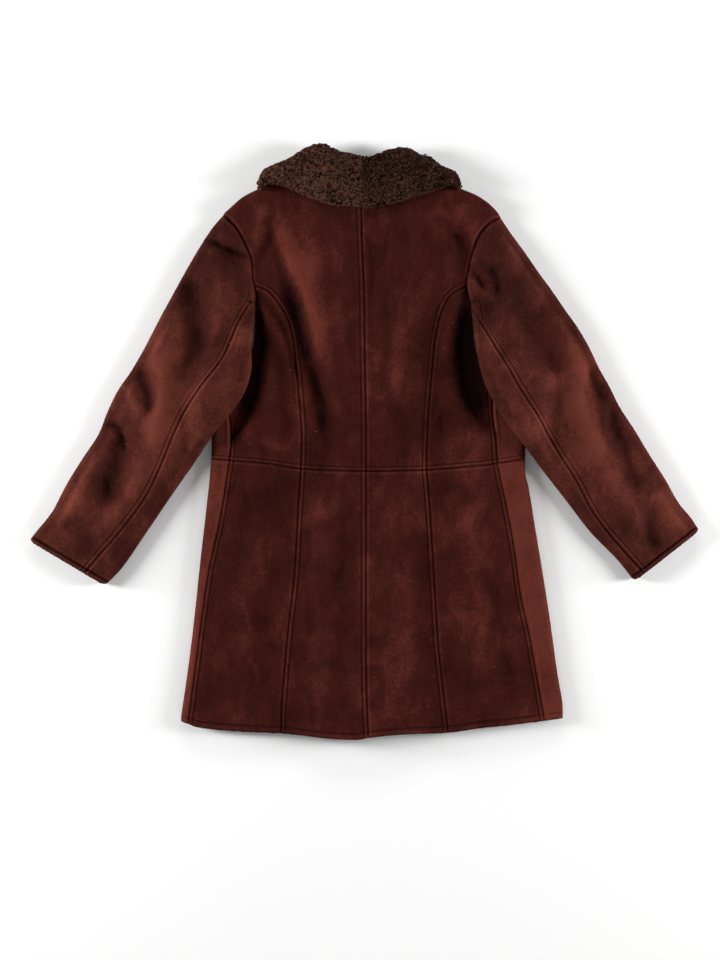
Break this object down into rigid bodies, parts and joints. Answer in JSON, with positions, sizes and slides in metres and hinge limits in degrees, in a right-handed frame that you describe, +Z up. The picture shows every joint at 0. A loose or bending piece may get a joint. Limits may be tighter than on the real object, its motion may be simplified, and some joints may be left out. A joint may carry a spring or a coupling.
{
  "type": "shearling coat",
  "caption": "Three-quarter sheepskin coat laid face down, with a seamed back, waisted skirt panels, set-in sleeves and a curly wool collar.",
  "frame": {"origin": "on the surface the coat lies on, under the middle of its overall outline", "axes": "+X to the right of someone looking down on the coat's back, across its spread sleeves; +Y from the hem towards the collar; +Z up out of the surface"},
  "size_m": [1.067, 0.9426, 0.052],
  "materials": {
    "suede": "dark red-brown brushed suede, matt with a soft nap",
    "wool": "curly dark brown sheep's wool, uncut, with a soft dull shine"
  },
  "bodies": {
    "root": {"back_upper_left": "suede", "back_upper_right": "suede", "side_back_upper_left": "suede", "side_back_upper_right": "suede", "back_skirt_left": "suede", "back_skirt_right": "suede", "side_back_skirt_left": "suede", "side_back_skirt_right": "suede", "front_upper_left": "suede", "front_upper_right": "suede", "front_skirt_left": "suede", "front_skirt_right": "suede", "sleeve_top_left": "suede", "sleeve_top_right": "suede", "sleeve_under_left": "suede", "sleeve_under_right": "suede", "collar_back_left": "wool", "collar_back_right": "wool", "collar_front_left": "wool", "collar_front_right": "wool"}
  },
  "joints": []
}
